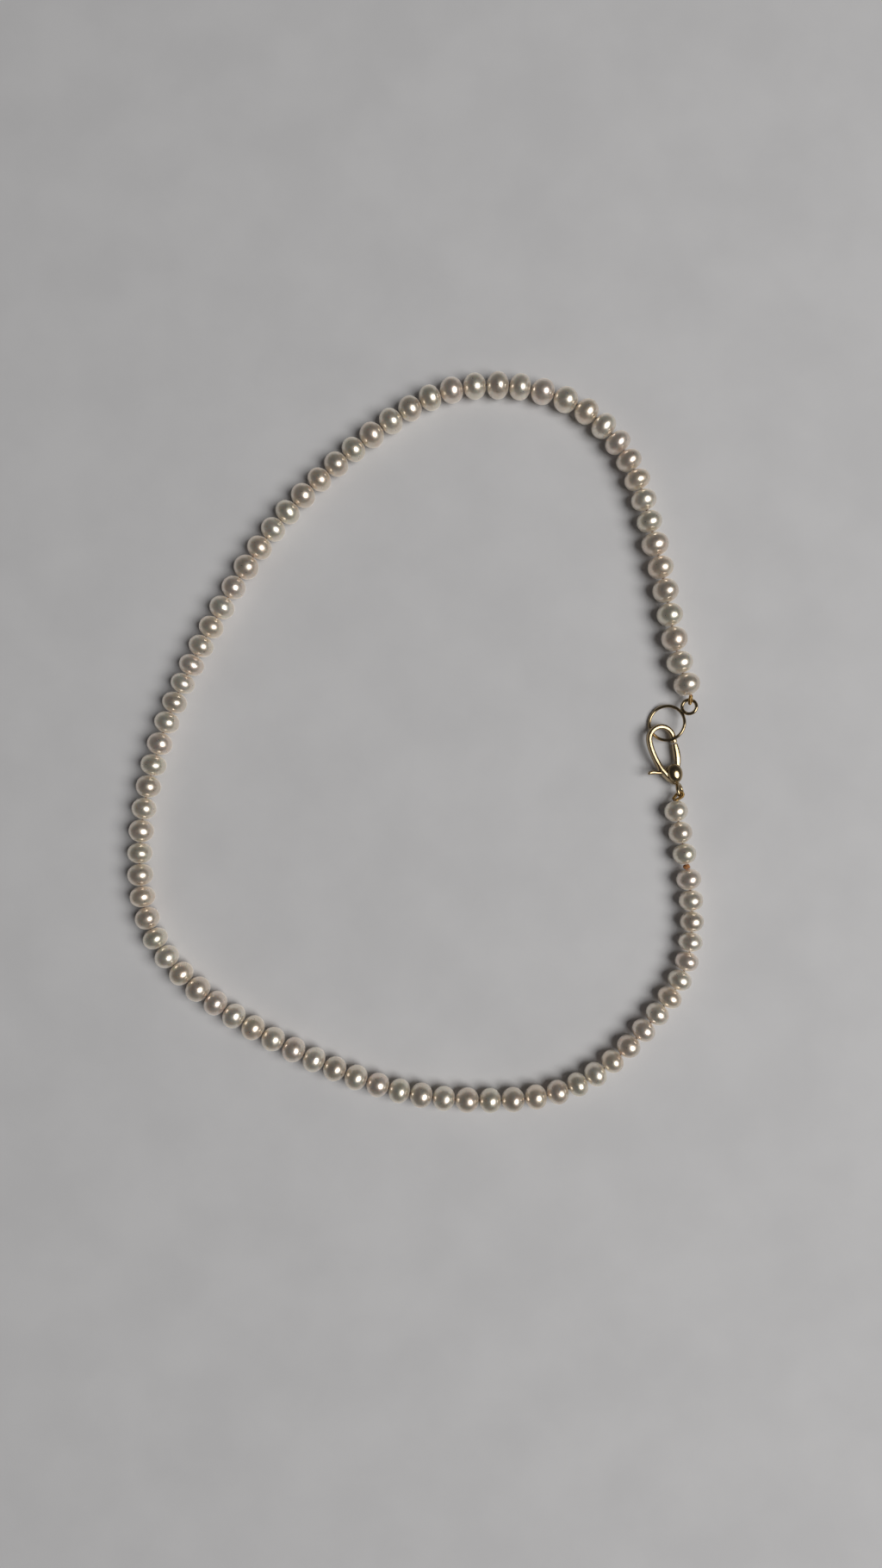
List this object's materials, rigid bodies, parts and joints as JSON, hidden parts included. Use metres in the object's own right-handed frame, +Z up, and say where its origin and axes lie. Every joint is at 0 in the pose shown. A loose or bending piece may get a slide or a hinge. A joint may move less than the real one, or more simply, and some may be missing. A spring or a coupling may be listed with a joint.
{
  "type": "pearl necklace",
  "caption": "Closed strand of off-round pearls on knotted silk, joined by a gold trigger clasp and a figure-eight ring.",
  "frame": {"origin": "under the middle of the closed necklace, on the surface it lies on", "axes": "+Z up; +Y along the longer side of the loop; the clasp is on the +X side"},
  "size_m": [0.1136, 0.146, 0.0054],
  "materials": {
    "pearl": "lustrous cream nacre",
    "silk": "golden brown silk",
    "gold": "polished gold",
    "french_wire": "fine coiled gold wire",
    "spring_steel": "bright drawn wire"
  },
  "bodies": {
    "strand_01": {"pearl_pair_01": "pearl", "pearl_pair_02": "pearl", "french_wire_clasp_side": "french_wire", "knot_clasp_side": "silk"},
    "strand_02": {"pearl_pair_03": "pearl", "pearl_pair_04": "pearl"},
    "strand_03": {"pearl_pair_05": "pearl", "pearl_pair_06": "pearl"},
    "strand_04": {"pearl_pair_07": "pearl", "pearl_pair_08": "pearl"},
    "strand_05": {"pearl_pair_09": "pearl", "pearl_pair_10": "pearl"},
    "strand_06": {"pearl_pair_11": "pearl", "pearl_pair_12": "pearl"},
    "strand_07": {"pearl_pair_13": "pearl", "pearl_pair_14": "pearl"},
    "strand_08": {"pearl_pair_15": "pearl", "pearl_pair_16": "pearl"},
    "strand_09": {"pearl_pair_17": "pearl", "pearl_pair_18": "pearl"},
    "strand_10": {"pearl_pair_19": "pearl", "pearl_pair_20": "pearl"},
    "strand_11": {"pearl_pair_21": "pearl", "pearl_pair_22": "pearl", "silk_thread": "silk"},
    "strand_12": {"pearl_pair_23": "pearl", "pearl_pair_24": "pearl"},
    "strand_13": {"pearl_pair_25": "pearl", "pearl_pair_26": "pearl"},
    "strand_14": {"pearl_pair_27": "pearl", "pearl_pair_28": "pearl"},
    "strand_15": {"pearl_pair_29": "pearl", "pearl_pair_30": "pearl"},
    "strand_16": {"pearl_pair_31": "pearl", "pearl_pair_32": "pearl"},
    "strand_17": {"pearl_pair_33": "pearl", "pearl_pair_34": "pearl"},
    "strand_18": {"pearl_pair_35": "pearl", "pearl_pair_36": "pearl"},
    "strand_19": {"pearl_pair_37": "pearl", "pearl_pair_38": "pearl"},
    "strand_20": {"pearl_pair_39": "pearl", "pearl_pair_40": "pearl"},
    "strand_21": {"pearl_pair_41": "pearl", "pearl_pair_42": "pearl"},
    "strand_22": {"pearl_pair_43": "pearl", "french_wire_ring_side": "french_wire"},
    "figure_eight": {"large_ring": "gold", "small_ring": "gold"},
    "clasp": {"clasp_body": "gold", "clasp_end_ring": "gold", "lever_pin": "gold", "lever_spring": "spring_steel"},
    "lever": {"clasp_lever": "gold"}
  },
  "joints": [
    {"name": "bend_11_12", "type": "hinge", "parent": "strand_11", "child": "strand_12", "pos_m": [-0.05222, -0.00649, 0.00258], "axis": [0, 0, 1], "range_deg": [-8, 8], "deforming": ["silk_thread"]},
    {"name": "bend_11_10", "type": "hinge", "parent": "strand_11", "child": "strand_10", "pos_m": [-0.0544, -0.02388, 0.00257], "axis": [0, 0, 1], "range_deg": [-5.81, 5.81]},
    {"name": "bend_10_09", "type": "hinge", "parent": "strand_10", "child": "strand_09", "pos_m": [-0.05038, -0.04045, 0.00257], "axis": [0, 0, 1], "range_deg": [-0.89, 0.89]},
    {"name": "bend_09_08", "type": "hinge", "parent": "strand_09", "child": "strand_08", "pos_m": [-0.03769, -0.05267, 0.00257], "axis": [0, 0, 1], "range_deg": [-1.86, 1.86]},
    {"name": "bend_08_07", "type": "hinge", "parent": "strand_08", "child": "strand_07", "pos_m": [-0.02202, -0.06157, 0.00256], "axis": [0, 0, 1], "range_deg": [-4.33, 4.33]},
    {"name": "bend_07_06", "type": "hinge", "parent": "strand_07", "child": "strand_06", "pos_m": [-0.0053, -0.06817, 0.00254], "axis": [0, 0, 1], "range_deg": [-6.44, 6.44]},
    {"name": "bend_06_05", "type": "hinge", "parent": "strand_06", "child": "strand_05", "pos_m": [0.0125, -0.0706, 0.00252], "axis": [0, 0, 1], "range_deg": [-6, 6]},
    {"name": "bend_05_04", "type": "hinge", "parent": "strand_05", "child": "strand_04", "pos_m": [0.03018, -0.06828, 0.0025], "axis": [0, 0, 1], "range_deg": [-3.82, 3.82]},
    {"name": "bend_04_03", "type": "hinge", "parent": "strand_04", "child": "strand_03", "pos_m": [0.04356, -0.05832, 0.00249], "axis": [0, 0, 1], "range_deg": [-1.41, 1.41]},
    {"name": "bend_03_02", "type": "hinge", "parent": "strand_03", "child": "strand_02", "pos_m": [0.05295, -0.04505, 0.00249], "axis": [0, 0, 1], "range_deg": [-1.88, 1.88]},
    {"name": "bend_02_01", "type": "hinge", "parent": "strand_02", "child": "strand_01", "pos_m": [0.05413, -0.02908, 0.00248], "axis": [0, 0, 1], "range_deg": [-4.6, 4.6]},
    {"name": "clasp_swing", "type": "hinge", "parent": "strand_01", "child": "clasp", "pos_m": [0.05204, -0.01043, 0.00247], "axis": [0, 0, 1], "range_deg": [-4.89, 4.89]},
    {"name": "bend_12_13", "type": "hinge", "parent": "strand_12", "child": "strand_13", "pos_m": [-0.04672, 0.00983, 0.00258], "axis": [0, 0, 1], "range_deg": [-6.09, 6.09]},
    {"name": "bend_13_14", "type": "hinge", "parent": "strand_13", "child": "strand_14", "pos_m": [-0.03927, 0.02464, 0.00258], "axis": [0, 0, 1], "range_deg": [-2.75, 2.75]},
    {"name": "bend_14_15", "type": "hinge", "parent": "strand_14", "child": "strand_15", "pos_m": [-0.02949, 0.04022, 0.00259], "axis": [0, 0, 1], "range_deg": [-1.44, 1.44]},
    {"name": "bend_15_16", "type": "hinge", "parent": "strand_15", "child": "strand_16", "pos_m": [-0.01739, 0.05331, 0.00261], "axis": [0, 0, 1], "range_deg": [-5.46, 5.46]},
    {"name": "bend_16_17", "type": "hinge", "parent": "strand_16", "child": "strand_17", "pos_m": [-0.00305, 0.06458, 0.00265], "axis": [0, 0, 1], "range_deg": [-7.78, 7.78]},
    {"name": "bend_17_18", "type": "hinge", "parent": "strand_17", "child": "strand_18", "pos_m": [0.01392, 0.07038, 0.00268], "axis": [0, 0, 1], "range_deg": [-6.99, 6.99]},
    {"name": "bend_18_19", "type": "hinge", "parent": "strand_18", "child": "strand_19", "pos_m": [0.03182, 0.06651, 0.00269], "axis": [0, 0, 1], "range_deg": [-2.43, 2.43]},
    {"name": "bend_19_20", "type": "hinge", "parent": "strand_19", "child": "strand_20", "pos_m": [0.04297, 0.05365, 0.0027], "axis": [0, 0, 1], "range_deg": [-1.68, 1.68]},
    {"name": "bend_20_21", "type": "hinge", "parent": "strand_20", "child": "strand_21", "pos_m": [0.04777, 0.03671, 0.00271], "axis": [0, 0, 1], "range_deg": [-3.12, 3.12]},
    {"name": "bend_21_22", "type": "hinge", "parent": "strand_21", "child": "strand_22", "pos_m": [0.05144, 0.01794, 0.00272], "axis": [0, 0, 1], "range_deg": [-3.86, 3.86]},
    {"name": "ring_swing", "type": "hinge", "parent": "strand_22", "child": "figure_eight", "pos_m": [0.05419, 0.00838, 0.00256], "axis": [0, 0, 1], "range_deg": [-4.23, 4.23]},
    {"name": "lever_press", "type": "hinge", "parent": "clasp", "child": "lever", "pos_m": [0.05117, -0.00601, 0.00168], "axis": [0.2013, 0.0521, 0.9781], "range_deg": [0, 22], "stiffness_Nm_per_rad": 0.01, "springref_deg": -14.32, "deforming": ["lever_spring"]}
  ],
  "couplings": [
    {"joint": "bend_11_10", "follows": "bend_11_12", "ratio": -0.70616},
    {"joint": "bend_10_09", "follows": "bend_11_12", "ratio": -0.10318},
    {"joint": "bend_09_08", "follows": "bend_11_12", "ratio": 0.22178},
    {"joint": "bend_08_07", "follows": "bend_11_12", "ratio": 0.52436},
    {"joint": "bend_07_06", "follows": "bend_11_12", "ratio": 0.7826},
    {"joint": "bend_06_05", "follows": "bend_11_12", "ratio": 0.72945},
    {"joint": "bend_05_04", "follows": "bend_11_12", "ratio": 0.46231},
    {"joint": "bend_04_03", "follows": "bend_11_12", "ratio": 0.16628},
    {"joint": "bend_03_02", "follows": "bend_11_12", "ratio": -0.2245},
    {"joint": "bend_02_01", "follows": "bend_11_12", "ratio": -0.55772},
    {"joint": "clasp_swing", "follows": "bend_11_12", "ratio": -0.59348},
    {"joint": "bend_12_13", "follows": "bend_11_12", "ratio": 0.73961},
    {"joint": "bend_13_14", "follows": "bend_11_12", "ratio": 0.33044},
    {"joint": "bend_14_15", "follows": "bend_11_12", "ratio": -0.17065},
    {"joint": "bend_15_16", "follows": "bend_11_12", "ratio": -0.66322},
    {"joint": "bend_16_17", "follows": "bend_11_12", "ratio": -0.94776},
    {"joint": "bend_17_18", "follows": "bend_11_12", "ratio": -0.85017},
    {"joint": "bend_18_19", "follows": "bend_11_12", "ratio": -0.29143},
    {"joint": "bend_19_20", "follows": "bend_11_12", "ratio": 0.20034},
    {"joint": "bend_20_21", "follows": "bend_11_12", "ratio": 0.37589},
    {"joint": "bend_21_22", "follows": "bend_11_12", "ratio": 0.46674},
    {"joint": "ring_swing", "follows": "bend_11_12", "ratio": 0.51197}
  ]
}
